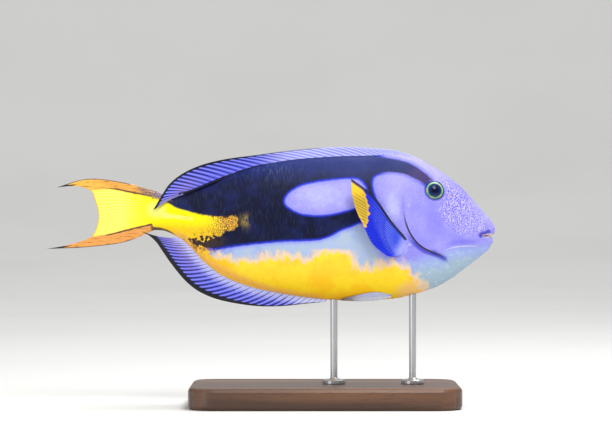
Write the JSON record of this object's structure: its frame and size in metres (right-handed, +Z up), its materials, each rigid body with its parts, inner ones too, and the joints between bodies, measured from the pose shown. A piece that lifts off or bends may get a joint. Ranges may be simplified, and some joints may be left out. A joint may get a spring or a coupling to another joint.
{
  "type": "regal blue tang",
  "caption": "Life-size reef fish, an oval flat-sided body with a high set fin along its back and belly and a forked tail, held level on a flat stand by short rods.",
  "frame": {"origin": "middle of the bounding box on the floor, under the middle of the fish's length", "axes": "+X along the fish to its snout, +Y to its left side, +Z up"},
  "size_m": [0.2499, 0.088, 0.1441],
  "materials": {
    "skin": "painted fish skin, violet blue and black over a yellow belly",
    "eye": "polished dark eye",
    "tail_spine": "pale bone",
    "blue_fin": "painted blue fin with fine rays",
    "yellow_fin": "painted yellow fin with fine rays",
    "pale_fin": "painted pale fin with fine rays",
    "stand_wood": "dark oiled walnut",
    "stand_steel": "satin steel rod"
  },
  "bodies": {
    "root": {"head": "skin", "trunk": "skin", "tail": "skin", "eye_left": "eye", "eye_right": "eye", "tail_spine_left": "tail_spine", "tail_spine_right": "tail_spine", "dorsal_fin": "blue_fin", "anal_fin": "blue_fin", "tail_fin_upper_lobe": "yellow_fin", "tail_fin_middle": "yellow_fin", "tail_fin_lower_lobe": "yellow_fin", "pectoral_fin_left": "blue_fin", "pectoral_fin_right": "blue_fin", "pelvic_fin_left": "pale_fin", "pelvic_fin_right": "pale_fin", "stand_base": "stand_wood", "stand_rod_front": "stand_steel", "stand_rod_rear": "stand_steel"}
  },
  "joints": []
}
